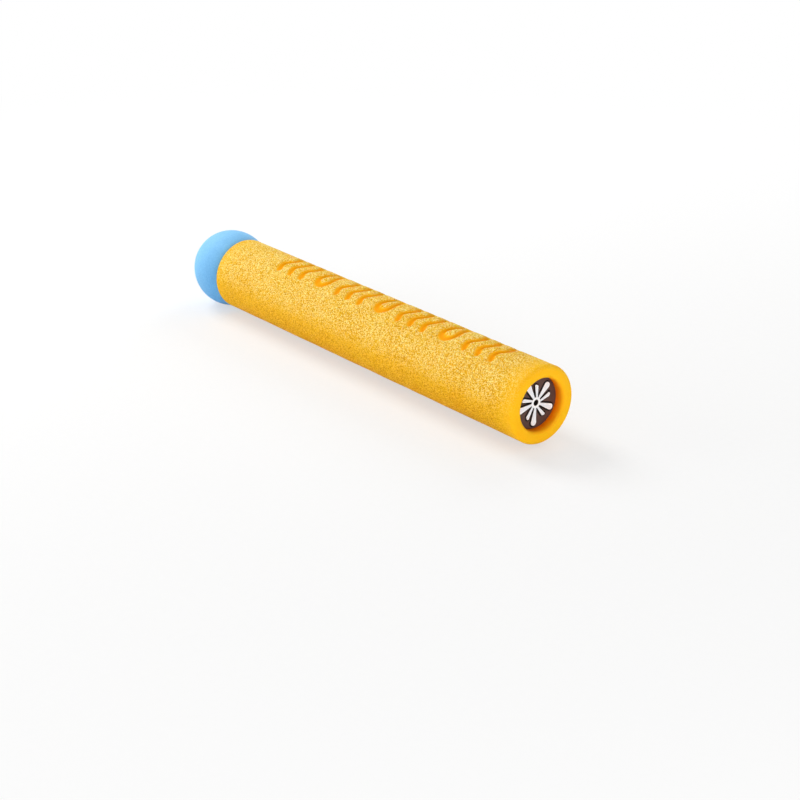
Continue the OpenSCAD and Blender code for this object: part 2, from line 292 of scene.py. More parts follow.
# Each cell is its own tone, from burnt pits through orange to cream tops
low = add(tree, RANGE, {"Value": tone, "From Min": 0.0, "From Max": 0.5})
high = add(tree, RANGE, {"Value": tone, "From Min": 0.5, "From Max": 1.0})
high = add(tree, MATH, {0: high, 1: painted_top_light}, operation="MULTIPLY")
crust = add(tree, MIX, {"Factor": low, "A": srgb("CA8604"), "B": srgb("F4BA20")}, data_type="RGBA")
crust = add(tree, MIX, {"Factor": high, "A": crust, "B": srgb("FFE892")}, data_type="RGBA")
print("foam cells in mm:", round(FOAM_CELL / MM, 2))

# %% The melted film, the relief and the glow
GLOW_REACH = 3 * MM
# The melted film is strong orange where it is pressed and golden where it is cut. It is stronger the deeper
# it lies, a painted shade on the groove's floor, and almost red in the mouth, a painted shade and glow in
# that recess
film = add(tree, MIX, {"Factor": depth, "A": srgb("FFC41C"), "B": srgb("FDA404")}, data_type="RGBA")
film = add(tree, MIX, {"Factor": cut, "A": film, "B": srgb("FFBC1C")}, data_type="RGBA")
film = add(tree, MIX, {"Factor": mouth, "A": film, "B": srgb("FF7A02")}, data_type="RGBA")
cover = add(tree, MATH, {0: melted, 1: 0.97}, operation="MULTIPLY")
colour = add(tree, MIX, {"Factor": cover, "A": crust, "B": film}, data_type="RGBA")
gloss = add(tree, RANGE, {"Value": luck, "To Min": 0.7, "To Max": 0.45})
calm = add(tree, RANGE, {"Value": melted, "To Min": 1.0, "To Max": 0.15})
relief = add(tree, MATH, {0: dome, 1: calm}, operation="MULTIPLY")
bump = add(tree, "ShaderNodeBump", {"Strength": 0.7, "Distance": CELL_HEIGHT, "Height": relief})
wire(tree, shader, {"Base Color": colour, "Roughness": gloss, "Normal": bump})
wire(tree, shader, {"IOR": 1.5, "Specular IOR Level": 0.02})
# Light goes a few millimetres into the foam, red furthest, so its shaded sides glow deep orange, not grey.
# Less of it goes into the pressed film, which keeps the grooves crisp
glow = add(tree, RANGE, {"Value": pressed, "To Min": 0.4, "To Max": 0.1})
wire(tree, shader, {
    "Subsurface Weight": glow, "Subsurface Scale": GLOW_REACH, "Subsurface Radius": (1.0, 0.4, 0.06)})
print("light goes into the foam, in mm:", round(GLOW_REACH / MM))

# %% [markdown]
# The sleeve's profile runs along the outside to the muzzle, over the rounded edge, down the muzzle's face
# into the mouth that holds the cap, back through the tunnel for the barrel, and out through the dish that the
# ball nests in. Foam has no sharp edges, so even the dish's lip gets a small bevel. The skin has a row of
# points every 0.4 mm where the motif is pressed, because a groove's wall is only about two millimetres wide.

# %% The sleeve's sizes
sleeve_r, mouth_r, tunnel_r = 23 * MM, 15.45 * MM, 14.1 * MM
muzzle_round, mouth_round, rear_round, lip_bevel = 2.8 * MM, 2.2 * MM, 0.8 * MM, 0.6 * MM
muzzle_x, rear_x = sleeve_high.x, sleeve_low.x
mouth_step_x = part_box("nozzle_cap")[0].x
ball_r, ball_room, ball_stand = 25 * MM, 0.3 * MM, 16 * MM
ball_x = rear_x - ball_stand
dish_r = ball_r + ball_room
dish_lip_r = math.sqrt(dish_r ** 2 - (rear_x - ball_x) ** 2)
dish_start_x = ball_x + math.sqrt(dish_r ** 2 - tunnel_r ** 2)
lip_deg = math.degrees(math.asin((dish_lip_r - lip_bevel) / dish_r))
tunnel_deg = math.degrees(math.asin(tunnel_r / dish_r))
motif_setback, motif_end, motif_margin = 28 * MM, 239 * MM, 2 * MM
motif_front, motif_back = muzzle_x - motif_setback, muzzle_x - motif_end
print("dish is", round(2 * dish_lip_r / MM, 1), "mm wide at its lip")

# %% The sleeve's profile
FINE, COARSE = 0.4 * MM, 4 * MM
# How many points the other stretches get, and how many steps the round ones
FRONT_ROWS, FACE_ROWS, MOUTH_ROWS, TUNNEL_ROWS, REAR_ROWS = 8, 6, 8, 12, 4
MUZZLE_STEPS, MOUTH_STEPS, DISH_STEPS, REAR_STEPS = 8, 5, 10, 4
CUT_FADE, PAINTED_MOUTH_FADE, MUZZLE_MARK, REAR_MARK = 14 * MM, 4.5 * MM, 0.7, 0.4
NEARLY = 1e-6

skin_x = np.concatenate([
    np.arange(rear_x + rear_round, motif_back - motif_margin, COARSE),
    np.arange(motif_back - motif_margin, motif_front + motif_margin, FINE),
    np.linspace(motif_front + motif_margin, muzzle_x - muzzle_round, FRONT_ROWS)[:-1],
])
front_cut = np.clip(MUZZLE_MARK * (1 - (muzzle_x - muzzle_round - skin_x) / CUT_FADE), 0, 1)
rear_cut = np.clip(REAR_MARK * (1 - (skin_x - rear_x) / CUT_FADE), 0, 1)
muzzle_arc = arc(muzzle_x - muzzle_round, sleeve_r - muzzle_round, muzzle_round, 90, 0, MUZZLE_STEPS)
face_r = np.linspace(sleeve_r - muzzle_round, mouth_r + mouth_round, FACE_ROWS)[1:-1]
mouth_x = np.linspace(muzzle_x - mouth_round, mouth_step_x, MOUTH_ROWS)[1:]
rear_r = np.linspace(dish_lip_r + lip_bevel, sleeve_r - rear_round, REAR_ROWS)[:-1]
# Each stretch comes with its mark "cut"
sections = [
    ([(x, sleeve_r) for x in skin_x], front_cut + rear_cut),
    (muzzle_arc, np.linspace(MUZZLE_MARK, 1.0, MUZZLE_STEPS + 1)),
    ([(muzzle_x, r) for r in face_r], 1.0),
    (arc(muzzle_x - mouth_round, mouth_r + mouth_round, mouth_round, 0, -90, MOUTH_STEPS), 1.0),
    ([(x, mouth_r) for x in mouth_x], 1.0),
    ([(x, tunnel_r) for x in np.linspace(mouth_step_x, dish_start_x, TUNNEL_ROWS)], 1.0),
    (arc(ball_x, 0, dish_r, tunnel_deg, lip_deg, DISH_STEPS)[1:], 1.0),
    ([(rear_x, r) for r in rear_r], 1.0),
    (arc(rear_x + rear_round, sleeve_r - rear_round, rear_round, 180, 90, REAR_STEPS)[:-1], REAR_MARK),
]
sleeve_profile = [point for points, mark in sections for point in points]
sleeve_cut = np.concatenate([np.broadcast_to(mark, len(points)) for points, mark in sections])
# How far each point lies in the mouth, which takes a painted shade and glow
painted_mouth_shade = [
    min(1.0, (muzzle_x - x) / PAINTED_MOUTH_FADE) if r < mouth_r + mouth_round and x > mouth_step_x else 0.0
    for x, r in sleeve_profile
]
on_skin = [1.0 if r > sleeve_r - NEARLY else 0.0 for x, r in sleeve_profile]
print("sleeve profile has", len(sleeve_profile), "points")

# %% The sleeve's mesh
PRESSED_DEG, SIDE_STEP_DEG = 38, 4
LUMP_SIZE, LUMP_DEPTH = 18 * MM, 0.25 * MM
fine_steps = round(2 * math.radians(PRESSED_DEG) * sleeve_r / FINE)
side_steps = round((360 - 2 * PRESSED_DEG) / SIDE_STEP_DEG)
sleeve_angles = np.concatenate([
    np.linspace(-PRESSED_DEG, PRESSED_DEG, fine_steps + 1),
    np.linspace(PRESSED_DEG, 360 - PRESSED_DEG, side_steps + 1)[1:-1],
])
sleeve_mesh = turned(
    "sleeve_foam", sleeve_profile, sleeve_angles, lumps=(LUMP_SIZE, LUMP_DEPTH, on_skin),
    cut=sleeve_cut, mouth=painted_mouth_shade, skin=on_skin,
)
print("sleeve blank has", len(sleeve_mesh.polygons), "faces")

# %% [markdown]
# A hot tool presses a row of waves and drops into the top of the sleeve. They repeat and lie on a curved
# surface, so Geometry Nodes make them. Booleans would cut them with hard edges, which foam doesn't have.
# Here the tree draws only the middle line of each stroke, lays the lines out flat, and measures for each
# point of the skin how far it is, seen from above, from the nearest line. Close points sink straight towards
# the axis, and a soft shoulder sinks a little with them. The tree keeps the marks "pressed" and "depth".

# %% A tree with named sizes, and how to run it
def geometry_tree(name, sizes):
    tree = bpy.data.node_groups.new(name, "GeometryNodeTree")
    for way in ("INPUT", "OUTPUT"):
        tree.interface.new_socket("Geometry", in_out=way, socket_type="NodeSocketGeometry")
    for label, value in sizes.items():
        kind = "NodeSocketInt" if isinstance(value, int) else "NodeSocketFloat"
        tree.interface.new_socket(label, in_out="INPUT", socket_type=kind)
    return tree, add(tree, "NodeGroupInput").outputs


def grown(name, mesh, tree, sizes):
    piece = bpy.data.objects.new(name, mesh)
    scene.collection.objects.link(piece)
    step = piece.modifiers.new(tree.name, "NODES")
    step.node_group = tree
    for socket in tree.interface.items_tree:
        if socket.in_out == "INPUT" and socket.name in sizes:
            step[socket.identifier] = sizes[socket.name]
    depsgraph = bpy.context.evaluated_depsgraph_get()
    made = piece.evaluated_get(depsgraph)
    plain = bpy.data.meshes.new_from_object(made, preserve_all_data_layers=True, depsgraph=depsgraph)
    piece.modifiers.remove(step)
    piece.data = plain
    print(name, "has", len(plain.polygons), "faces")
    return piece


groove, wave_tall, wave_rise, wave_pitch, waves = 4.6 * MM, 25 * MM, 1.8 * MM, 11.4 * MM, 3
drop_wide, drop_tall, motif_gap = 15 * MM, 24 * MM, 7 * MM
WAVE_TURNS, TIP_SHARE = 1.25, 1.1
wave_block = (waves - 1) * wave_pitch + 2 * wave_rise + groove
tip_outer = TIP_SHARE * groove
motif_sizes = {
    "Blocks": 4,
    "Waves": waves,
    "Step": wave_block + drop_wide + 2 * motif_gap,
    "First block": motif_front - wave_block / 2,
    "First drop": motif_front - wave_block - motif_gap - drop_wide / 2,
    "Wave length": wave_tall - groove,
    "Wave turn": 2 * math.pi * WAVE_TURNS,
    "Wave rise": -wave_rise,
    "Wave pitch": wave_pitch,
    "First wave": -wave_pitch * (waves - 1) / 2,
    "Drop round": (drop_wide - groove) / 2,
    "Drop tip": tip_outer - groove / 2,
    "Round centre": (drop_wide - drop_tall) / 2,
    "Tip centre": drop_tall / 2 - tip_outer,
    "Half groove": groove / 2,
    "Edge": 0.5 * MM,
    "Floor": 0.5 * MM,
    "Depth": 1.8 * MM,
    "Shoulder": 2.0 * MM,
    "Shoulder depth": 0.3 * MM,
    "Axis height": axis_z,
}
press, given = geometry_tree("pressed_water_motif", motif_sizes)
print("motif repeats every", round(motif_sizes["Step"] / MM), "mm")

# %% Wave blocks
WAVE_POINTS = 60
count = add(press, "GeometryNodeInputIndex")


def row_of(piece, number, pitch, first):
    x = add(press, MATH, {0: count, 1: pitch, 2: first}, operation="MULTIPLY_ADD")
    places = add(press, COMBINE, {"X": x})
    points = add(press, "GeometryNodePoints", {"Count": number, "Position": places})
    return add(press, "GeometryNodeInstanceOnPoints", {"Points": points, "Instance": piece})


way = add(press, "GeometryNodeSplineParameter").outputs["Factor"]
straight = add(press, "GeometryNodeCurvePrimitiveLine")
line = add(press, "GeometryNodeResampleCurve", {"Curve": straight, "Count": WAVE_POINTS})
from_middle = add(press, MATH, {0: way, 1: 0.5}, operation="SUBTRACT")
along = add(press, MATH, {0: from_middle, 1: given["Wave length"]}, operation="MULTIPLY")
turn = add(press, MATH, {0: way, 1: given["Wave turn"]}, operation="MULTIPLY")
swing = add(press, MATH, {0: turn}, operation="SINE")
sideways = add(press, MATH, {0: swing, 1: given["Wave rise"]}, operation="MULTIPLY")
wave_place = add(press, COMBINE, {"X": sideways, "Y": along})
wave = add(press, "GeometryNodeSetPosition", {"Geometry": line, "Position": wave_place})
block = row_of(wave, given["Waves"], given["Wave pitch"], given["First wave"])
back = add(press, MATH, {0: given["Step"], 1: -1.0}, operation="MULTIPLY")
blocks = row_of(block, given["Blocks"], back, given["First block"])
print("waves:", motif_sizes["Blocks"] * motif_sizes["Waves"])

# %% [markdown]
# A drop's outline is a big and a small circle with their common tangents. Seen from the outside in each
# direction, the outline's point belongs to whichever circle reaches further that way. So the tree takes
# a plain circle of directions and sends each one to the big circle or to the tip.

# %% Drops between the blocks
DROP_POINTS = 72


def outermost_circle(tree, facing_along, centres, radii):
    gap = add(tree, MATH, {0: centres[1], 1: centres[0]}, operation="SUBTRACT")
    reach = add(tree, MATH, {0: facing_along, 1: gap}, operation="MULTIPLY")
    narrower = add(tree, MATH, {0: radii[0], 1: radii[1]}, operation="SUBTRACT")
    second = add(tree, "FunctionNodeCompare", {"A": reach, "B": narrower}, operation="GREATER_THAN")
    return [
        add(tree, "GeometryNodeSwitch", {"Switch": second, "False": a, "True": b}, input_type="FLOAT")
        for a, b in (centres, radii)
    ]


facing = add(press, "GeometryNodeInputPosition")
facing_y = add(press, SEPARATE, {0: facing}).outputs["Y"]
drop_centres = given["Round centre"], given["Tip centre"]
drop_radii = given["Drop round"], given["Drop tip"]
centre_y, radius = outermost_circle(press, facing_y, drop_centres, drop_radii)
spoke = add(press, VECTOR_MATH, {"Vector": facing, "Scale": radius}, operation="SCALE")
centre = add(press, COMBINE, {"Y": centre_y})
outline = add(press, VECTOR_MATH, {0: spoke, 1: centre}, operation="ADD")
circle = add(press, "GeometryNodeCurvePrimitiveCircle", {"Resolution": DROP_POINTS, "Radius": 1.0})
drop = add(press, "GeometryNodeSetPosition", {"Geometry": circle, "Position": outline})
between = add(press, MATH, {0: given["Blocks"], 1: 1.0}, operation="SUBTRACT")
drops = row_of(drop, between, back, given["First drop"])
print("drops:", motif_sizes["Blocks"] - 1)

# %% [markdown]
# Three ramps over the distance from the nearest line do the pressing. One is the valley, deepest along the
# line. One is the melted film, which covers nearly the whole valley. One is the shoulder, which reaches two
# millimetres past the stroke. Only skin above the axis is pressed, or the underside would get the lines too.

# %% How far each point is from a line
FILM_SHARE = 0.7
lines = add(press, "GeometryNodeJoinGeometry", {"Geometry": blocks})
wire(press, lines, {"Geometry": drops})
lines = add(press, "GeometryNodeRealizeInstances", {"Geometry": lines})
lines = add(press, "GeometryNodeCurveToMesh", {"Curve": lines})
spot = add(press, "GeometryNodeInputPosition")
plan = add(press, VECTOR_MATH, {0: spot, 1: (1, 1, 0)}, operation="MULTIPLY")
to_lines = {"Geometry": lines, "Sample Position": plan}
near = add(press, "GeometryNodeProximity", to_lines, target_element="EDGES").outputs["Distance"]
inner = add(press, MATH, {0: given["Half groove"], 1: FILM_SHARE}, operation="MULTIPLY")
outer = add(press, MATH, {0: given["Half groove"], 1: given["Edge"]}, operation="ADD")
wide = add(press, MATH, {0: given["Half groove"], 1: given["Shoulder"]}, operation="ADD")
height = add(press, SEPARATE, {0: spot}).outputs["Z"]
above = {"A": height, "B": given["Axis height"]}
on_top = add(press, "FunctionNodeCompare", above, operation="GREATER_THAN")
skin_mark = add(press, "GeometryNodeInputNamedAttribute", {"Name": "skin"}).outputs["Attribute"]
top_skin = add(press, MATH, {0: on_top, 1: skin_mark}, operation="MULTIPLY")
ramps = []
for start, end in ((outer, given["Floor"]), (outer, inner), (wide, inner)):
    ramp = add(press, RANGE, {"Value": near, "From Min": start, "From Max": end}, **SMOOTH)
    ramps.append(add(press, MATH, {0: ramp, 1: top_skin}, operation="MULTIPLY"))
valley, film, shoulder = ramps
print("ramps:", len(ramps))

# %% Press the lines into the skin
SHARP_FOAM_DEG = 50
STORE = "GeometryNodeStoreNamedAttribute"
sink = add(press, MATH, {0: shoulder, 1: given["Shoulder depth"]}, operation="MULTIPLY")
deep = add(press, MATH, {0: given["Depth"], 1: given["Shoulder depth"]}, operation="SUBTRACT")
sink = add(press, MATH, {0: valley, 1: deep, 2: sink}, operation="MULTIPLY_ADD")
sink = add(press, MATH, {0: sink, 1: -1.0}, operation="MULTIPLY")
axis_point = add(press, COMBINE, {"Z": given["Axis height"]})
outward = add(press, VECTOR_MATH, {0: spot, 1: axis_point}, operation="SUBTRACT")
outward = add(press, VECTOR_MATH, {0: outward, 1: (0, 1, 1)}, operation="MULTIPLY")
outward = add(press, VECTOR_MATH, {0: outward}, operation="NORMALIZE")
push = add(press, VECTOR_MATH, {"Vector": outward, "Scale": sink}, operation="SCALE")
marked = add(press, STORE, {"Geometry": given["Geometry"], "Name": "pressed", "Value": film})
marked = add(press, STORE, {"Geometry": marked, "Name": "depth", "Value": valley})
moved = add(press, "GeometryNodeSetPosition", {"Geometry": marked, "Offset": push})
whole = add(press, "GeometryNodeRealizeInstances", {"Geometry": moved})
whole = add(press, "GeometryNodeSetMaterial", {"Geometry": whole, "Material": orange_foam})
add(press, "NodeGroupOutput", {"Geometry": whole})
sleeve = grown("sleeve_foam", sleeve_mesh, press, motif_sizes)
sleeve.data.set_sharp_from_angle(angle=math.radians(SHARP_FOAM_DEG))
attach(sleeve, "squirter_body")
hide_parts("foam_sleeve")

# %% [markdown]
# The ball is EVA foam, cut from a block and ground round. Its cells are a tenth of a millimetre,
# so it looks matt and almost even.
# The grain is drawn at 0.9 mm, coarser than it is, because a finer one would not show at all.

# %% Blue foam
BALL_GRAIN, BALL_RELIEF, BALL_CLOUD = 0.9 * MM, 0.12 * MM, 14 * MM
BALL_PORE = 2 * BALL_GRAIN
# The way along which the ball is painted lighter, and the shares of its radius where its painted shade and
# painted light are full
PAINTED_LIGHT_WAY = Vector((-0.6, 0, 0.4))
PAINTED_SHADE_SHARE, PAINTED_LIGHT_SHARE = -0.4, 0.35
blue_foam, tree, shader, place = new_material("blue_eva_foam_ground")
speck = add(tree, NOISE, {"Vector": place, "Scale": 1 / BALL_GRAIN, "Detail": 2.0})
pores = add(tree, "ShaderNodeTexVoronoi", {"Vector": place, "Scale": 1 / BALL_PORE}).outputs["Distance"]
cloud = add(tree, NOISE, {"Vector": place, "Scale": 1 / BALL_CLOUD, "Detail": 3.0})
drift = add(tree, RANGE, {
    "Value": cloud, "From Min": NOISE_LOW, "From Max": NOISE_HIGH, "To Min": -0.1, "To Max": 0.1})
# Painted light and shade: the free end and the top are painted paler, and the side by the sleeve a darker,
# stronger blue
painted_light_side = add(tree, VECTOR_MATH, {0: place, 1: PAINTED_LIGHT_WAY}, operation="DOT_PRODUCT").outputs["Value"]
middle = PAINTED_LIGHT_WAY.dot(Vector((ball_x, 0, axis_z)))
painted_light_side = add(tree, RANGE, {
    "Value": painted_light_side, "From Min": middle + PAINTED_SHADE_SHARE * ball_r, "From Max": middle + PAINTED_LIGHT_SHARE * ball_r})
painted_light_side = add(tree, MATH, {0: painted_light_side, 1: drift}, operation="ADD")
painted_shade_blue = add(tree, MIX, {"Factor": speck, "A": srgb("3E88C8"), "B": srgb("6EB4E6")}, data_type="RGBA")
painted_lit_blue = add(tree, MIX, {"Factor": speck, "A": srgb("6CB8EC"), "B": srgb("94D2FA")}, data_type="RGBA")
colour = add(tree, MIX, {"Factor": painted_light_side, "A": painted_shade_blue, "B": painted_lit_blue}, data_type="RGBA")
gloss = add(tree, RANGE, {"Value": speck, "To Min": 0.62, "To Max": 0.8})
rough = add(tree, MATH, {0: speck, 1: pores}, operation="ADD")
bump = add(tree, "ShaderNodeBump", {"Strength": 0.35, "Distance": BALL_RELIEF, "Height": rough})
wire(tree, shader, {"Base Color": colour, "Roughness": gloss, "Normal": bump, "IOR": 1.48})
print("ball grain in mm:", BALL_GRAIN / MM)

# %% [markdown]
# The ball is turned too, with a socket for the tube and a pocket for the barbed core that holds it.
# The socket's mouth is rounded, because ground foam has no sharp edge.
# Its dents only go inwards, so that it still turns freely in the sleeve's dish.

# %% The ball's mesh
socket_r, socket_round, tube_past_middle = 7.1 * MM, 0.7 * MM, 3 * MM
collar_r, collar_deep, core_room = 10.1 * MM, 2.1 * MM, 0.1 * MM
stem_r, barb_r, barb_long, barbs = 4.1 * MM, 6.6 * MM, 4 * MM, 3
BALL_STEPS, SOCKET_STEPS, SOCKET_ROWS, BALL_TURN_DEG = 72, 4, 6, 2.5
BALL_LUMP_SIZE, BALL_LUMP_DEPTH = 11 * MM, 0.16 * MM
tube_end_x = ball_x - tube_past_middle
collar_front_x, collar_back_x = tube_end_x + core_room, tube_end_x - collar_deep
mouth_deg = math.degrees(math.asin((socket_r + socket_round) / ball_r))
mouth_edge_x = ball_x + ball_r * math.cos(math.radians(mouth_deg))
saw = []
for i in range(barbs):
    saw += [(collar_back_x - i * barb_long, barb_r), (collar_back_x - (i + 1) * barb_long, stem_r)]
ball_profile = (
    [(ball_x - ball_r, 0.0)]
    + arc(ball_x, 0, ball_r, 180, mouth_deg, BALL_STEPS)[1:]
    + arc(mouth_edge_x - socket_round, socket_r + socket_round, socket_round, 0, -90, SOCKET_STEPS)[1:]
    + [(x, socket_r) for x in np.linspace(mouth_edge_x - socket_round, collar_front_x, SOCKET_ROWS)[1:]]
    + [(collar_front_x, collar_r), (collar_back_x, collar_r)]
    + saw
    + [(saw[-1][0], 0.0)]
)
outside = [1.0 if 0 < i <= BALL_STEPS else 0.0 for i in range(len(ball_profile))]
ball_mesh = turned(
    "ball_foam", ball_profile, np.arange(0, 360, BALL_TURN_DEG),
    lumps=(BALL_LUMP_SIZE, BALL_LUMP_DEPTH, outside),
)
ball_mesh.set_sharp_from_angle(angle=math.radians(SHARP_FOAM_DEG))
ball_mesh.materials.append(blue_foam)
ball = bpy.data.objects.new("ball_foam", ball_mesh)
scene.collection.objects.link(ball)
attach(ball, "plunger")
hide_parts("ball_grip")
print("ball has", len(ball_mesh.polygons), "faces")

# %% [markdown]
# The nozzle's insert is moulded polypropylene: white, with the slight waxy gloss that this plastic has.
# A painted highlight makes the rim round each petal brighter, and a painted shade makes the tops a little
# greyer in the hollow. The mesh marks the rim.

# %% White moulded plastic
cap_face_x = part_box("nozzle_cap")[1].x
PETAL_FLOW, PETAL_RELIEF = 2.5 * MM, 0.04 * MM
# How far in front of the cap's face the painted shade at the petals' foot starts, and where it is full
PAINTED_SHADE_START, PAINTED_SHADE_FULL = 0.45 * MM, 0.2 * MM
white_moulded, tree, shader, place = new_material("white_polypropylene_moulded")
painted_highlight = add(tree, "ShaderNodeAttribute", attribute_name="painted_highlight").outputs["Fac"]
flow = add(tree, NOISE, {"Vector": place, "Scale": 1 / PETAL_FLOW, "Detail": 2.0})
# The rim takes a painted highlight; the rest is a painted grey shade, mottled by the mould's flow
painted_shade_grey = add(tree, MIX, {"Factor": flow, "A": srgb("E2E6EE"), "B": srgb("EEF0F4")}, data_type="RGBA")
colour = add(tree, MIX, {"Factor": painted_highlight, "A": painted_shade_grey, "B": srgb("FCFCFC")}, data_type="RGBA")
# A painted shade darkens the petals' foot where they rise out of the cap, and draws a dark line round each of
# them
ahead = add(tree, SEPARATE, {0: place}).outputs["X"]
painted_foot_shade = add(tree, RANGE, {
    "Value": ahead, "From Min": cap_face_x + PAINTED_SHADE_START, "From Max": cap_face_x + PAINTED_SHADE_FULL})
colour = add(tree, MIX, {"Factor": painted_foot_shade, "A": colour, "B": srgb("241C1B")}, data_type="RGBA")
gloss = add(tree, RANGE, {"Value": flow, "To Min": 0.28, "To Max": 0.42})
bump = add(tree, "ShaderNodeBump", {"Strength": 0.25, "Distance": PETAL_RELIEF, "Height": flow})
wire(tree, shader, {"Base Color": colour, "Roughness": gloss, "Normal": bump, "IOR": 1.49})
print("rim mark drives", white_moulded.name)

# %% [markdown]
# The insert's face is a flower: long petals with short curled ones between them, round a hub with the water
# hole. The petals repeat, so Geometry Nodes make one of each kind and set them round the hub.
# A petal is a flat sheet of points, laid out by a rule. One way across the sheet goes round the petal's
# outline, which is again two circles with their tangents. The other way goes up its section: from the middle
# of its underside to the edge, up the side, over a rounded rim, and down into a shallow hollow on top.
# A union joins all to one solid.

# %% Sizes of the flower
flower_sizes = {
    "Pairs": 5,
    "Turn": math.radians(65),
    "Long reach": 13.4 * MM,
    "Long width": 3.7 * MM,
    "Long curl": 0.0,
    "Short reach": 10.6 * MM,
    "Short width": 2.2 * MM,
    "Short curl": math.radians(16),
    "Base width": 1.1 * MM,
    "Hub radius": 3.2 * MM,
    "Hole radius": 1.8 * MM,
    "Hub length": 3.9 * MM,
    "Height": 1.7 * MM,
    "Rim round": 0.28 * MM,
    "Hollow": 0.16 * MM,
    "Front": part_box("petal_nozzle")[1].x,
    "Axis height": axis_z,
}
flower, given = geometry_tree("petal_flower", flower_sizes)
print("petals:", 2 * flower_sizes["Pairs"])

# %% The sheet of points, and the section that it follows
ROUND_POINTS, SECTION_POINTS = 49, 15
# Where the underside, the side and the rim end, as shares of the way up the section
UNDERSIDE, SIDE, RIM = (row / (SECTION_POINTS - 1) for row in (2, 4, 8))
# How far out on the top the hollow reaches its full depth, and where the rim's painted highlight starts and
# is full
HOLLOW_SHARE, PAINTED_RIM_START_SHARE, PAINTED_RIM_FULL_SHARE = 0.4, 0.55, 0.95
sheet = add(flower, "GeometryNodeMeshGrid", {
    "Size X": 1.0, "Size Y": 1.0, "Vertices X": ROUND_POINTS, "Vertices Y": SECTION_POINTS})
spot = add(flower, SEPARATE, {0: add(flower, "GeometryNodeInputPosition")}).outputs
full_turn = {"Value": spot["X"], "From Min": -0.5, "From Max": 0.5, "To Max": 2 * math.pi}
bearing = add(flower, RANGE, full_turn, clamp=False)
up = add(flower, MATH, {0: spot["Y"], 1: 0.5}, operation="ADD")
facing_x = add(flower, MATH, {0: bearing}, operation="COSINE")
facing_y = add(flower, MATH, {0: bearing}, operation="SINE")
opening = add(flower, RANGE, {"Value": up, "From Max": UNDERSIDE})
closing = add(flower, RANGE, {"Value": up, "From Min": RIM, "From Max": 1.0, "To Min": 1.0, "To Max": 0.0})
spread = add(flower, MATH, {0: opening, 1: closing}, operation="MINIMUM")
quarter = add(flower, RANGE, {"Value": up, "From Min": SIDE, "From Max": RIM, "To Max": math.pi / 2})
bend = add(flower, MATH, {0: quarter}, operation="COSINE")
bend = add(flower, MATH, {0: bend, 1: -1.0, 2: 1.0}, operation="MULTIPLY_ADD")
inset = add(flower, MATH, {0: bend, 1: given["Rim round"]}, operation="MULTIPLY")
rise = add(flower, MATH, {0: quarter}, operation="SINE")
rise = add(flower, MATH, {0: rise, 1: given["Rim round"]}, operation="MULTIPLY")
wall = add(flower, MATH, {0: given["Height"], 1: given["Rim round"]}, operation="SUBTRACT")
climb = add(flower, RANGE, {"Value": up, "From Min": UNDERSIDE, "From Max": SIDE, "To Max": wall})
dip = add(flower, RANGE, {"Value": closing, "From Min": 1.0, "From Max": HOLLOW_SHARE}, **SMOOTH)
dip = add(flower, MATH, {0: dip, 1: given["Hollow"]}, operation="MULTIPLY")
top = add(flower, MATH, {0: climb, 1: rise}, operation="ADD")
top = add(flower, MATH, {0: top, 1: dip}, operation="SUBTRACT")
to_rim = {"Value": closing, "From Min": PAINTED_RIM_START_SHARE, "From Max": PAINTED_RIM_FULL_SHARE}
painted_highlight_share = add(flower, RANGE, to_rim, **SMOOTH)
print("petal sheet:", ROUND_POINTS, "by", SECTION_POINTS)

# %% Long and short petals round the hub
PETAL_WELD = 1e-6
half_base = add(flower, MATH, {0: given["Base width"], 1: 0.5}, operation="MULTIPLY")
base_at = add(flower, MATH, {0: given["Hub radius"], 1: half_base}, operation="SUBTRACT")
step = add(flower, MATH, {0: 2 * math.pi, 1: given["Pairs"]}, operation="DIVIDE")
number = add(flower, "GeometryNodeInputIndex")
petal_rings = []
for kind, first in (("Long", 0.0), ("Short", 0.5)):
    half = add(flower, MATH, {0: given[f"{kind} width"], 1: 0.5}, operation="MULTIPLY")
    end_at = add(flower, MATH, {0: given[f"{kind} reach"], 1: half}, operation="SUBTRACT")
    centre, radius = outermost_circle(flower, facing_x, (base_at, end_at), (half_base, half))
    radius = add(flower, MATH, {0: radius, 1: inset}, operation="SUBTRACT")
    radius = add(flower, MATH, {0: radius, 1: spread}, operation="MULTIPLY")
    x = add(flower, MATH, {0: facing_x, 1: radius, 2: centre}, operation="MULTIPLY_ADD")
    y = add(flower, MATH, {0: facing_y, 1: radius}, operation="MULTIPLY")
    flat = add(flower, COMBINE, {"X": x, "Y": y})
    far = add(flower, VECTOR_MATH, {0: flat}, operation="LENGTH").outputs["Value"]
    share = add(flower, MATH, {0: far, 1: given[f"{kind} reach"]}, operation="DIVIDE")
    share = add(flower, MATH, {0: share, 1: 2.0}, operation="POWER")
    share = add(flower, MATH, {0: share, 1: 0.5}, operation="SUBTRACT")
    curl = add(flower, MATH, {0: share, 1: given[f"{kind} curl"]}, operation="MULTIPLY")
    curled = add(flower, "ShaderNodeVectorRotate", {"Vector": flat, "Angle": curl}, rotation_type="Z_AXIS")
    lift = add(flower, COMBINE, {"Z": top})
    lifted = add(flower, VECTOR_MATH, {0: curled, 1: lift}, operation="ADD")
    marked = add(flower, STORE, {"Geometry": sheet, "Name": "painted_highlight", "Value": painted_highlight_share})
    petal = add(flower, "GeometryNodeSetPosition", {"Geometry": marked, "Position": lifted})
    petal = add(flower, "GeometryNodeMergeByDistance", {"Geometry": petal, "Distance": PETAL_WELD})
    ahead = add(flower, MATH, {0: number, 1: first}, operation="ADD")
    spin = add(flower, MATH, {0: ahead, 1: step, 2: given["Turn"]}, operation="MULTIPLY_ADD")
    turns = add(flower, COMBINE, {"Z": spin})
    spots = add(flower, "GeometryNodePoints", {"Count": given["Pairs"]})
    petal_rings.append(add(flower, "GeometryNodeInstanceOnPoints", {
        "Points": spots, "Instance": petal, "Rotation": turns}))
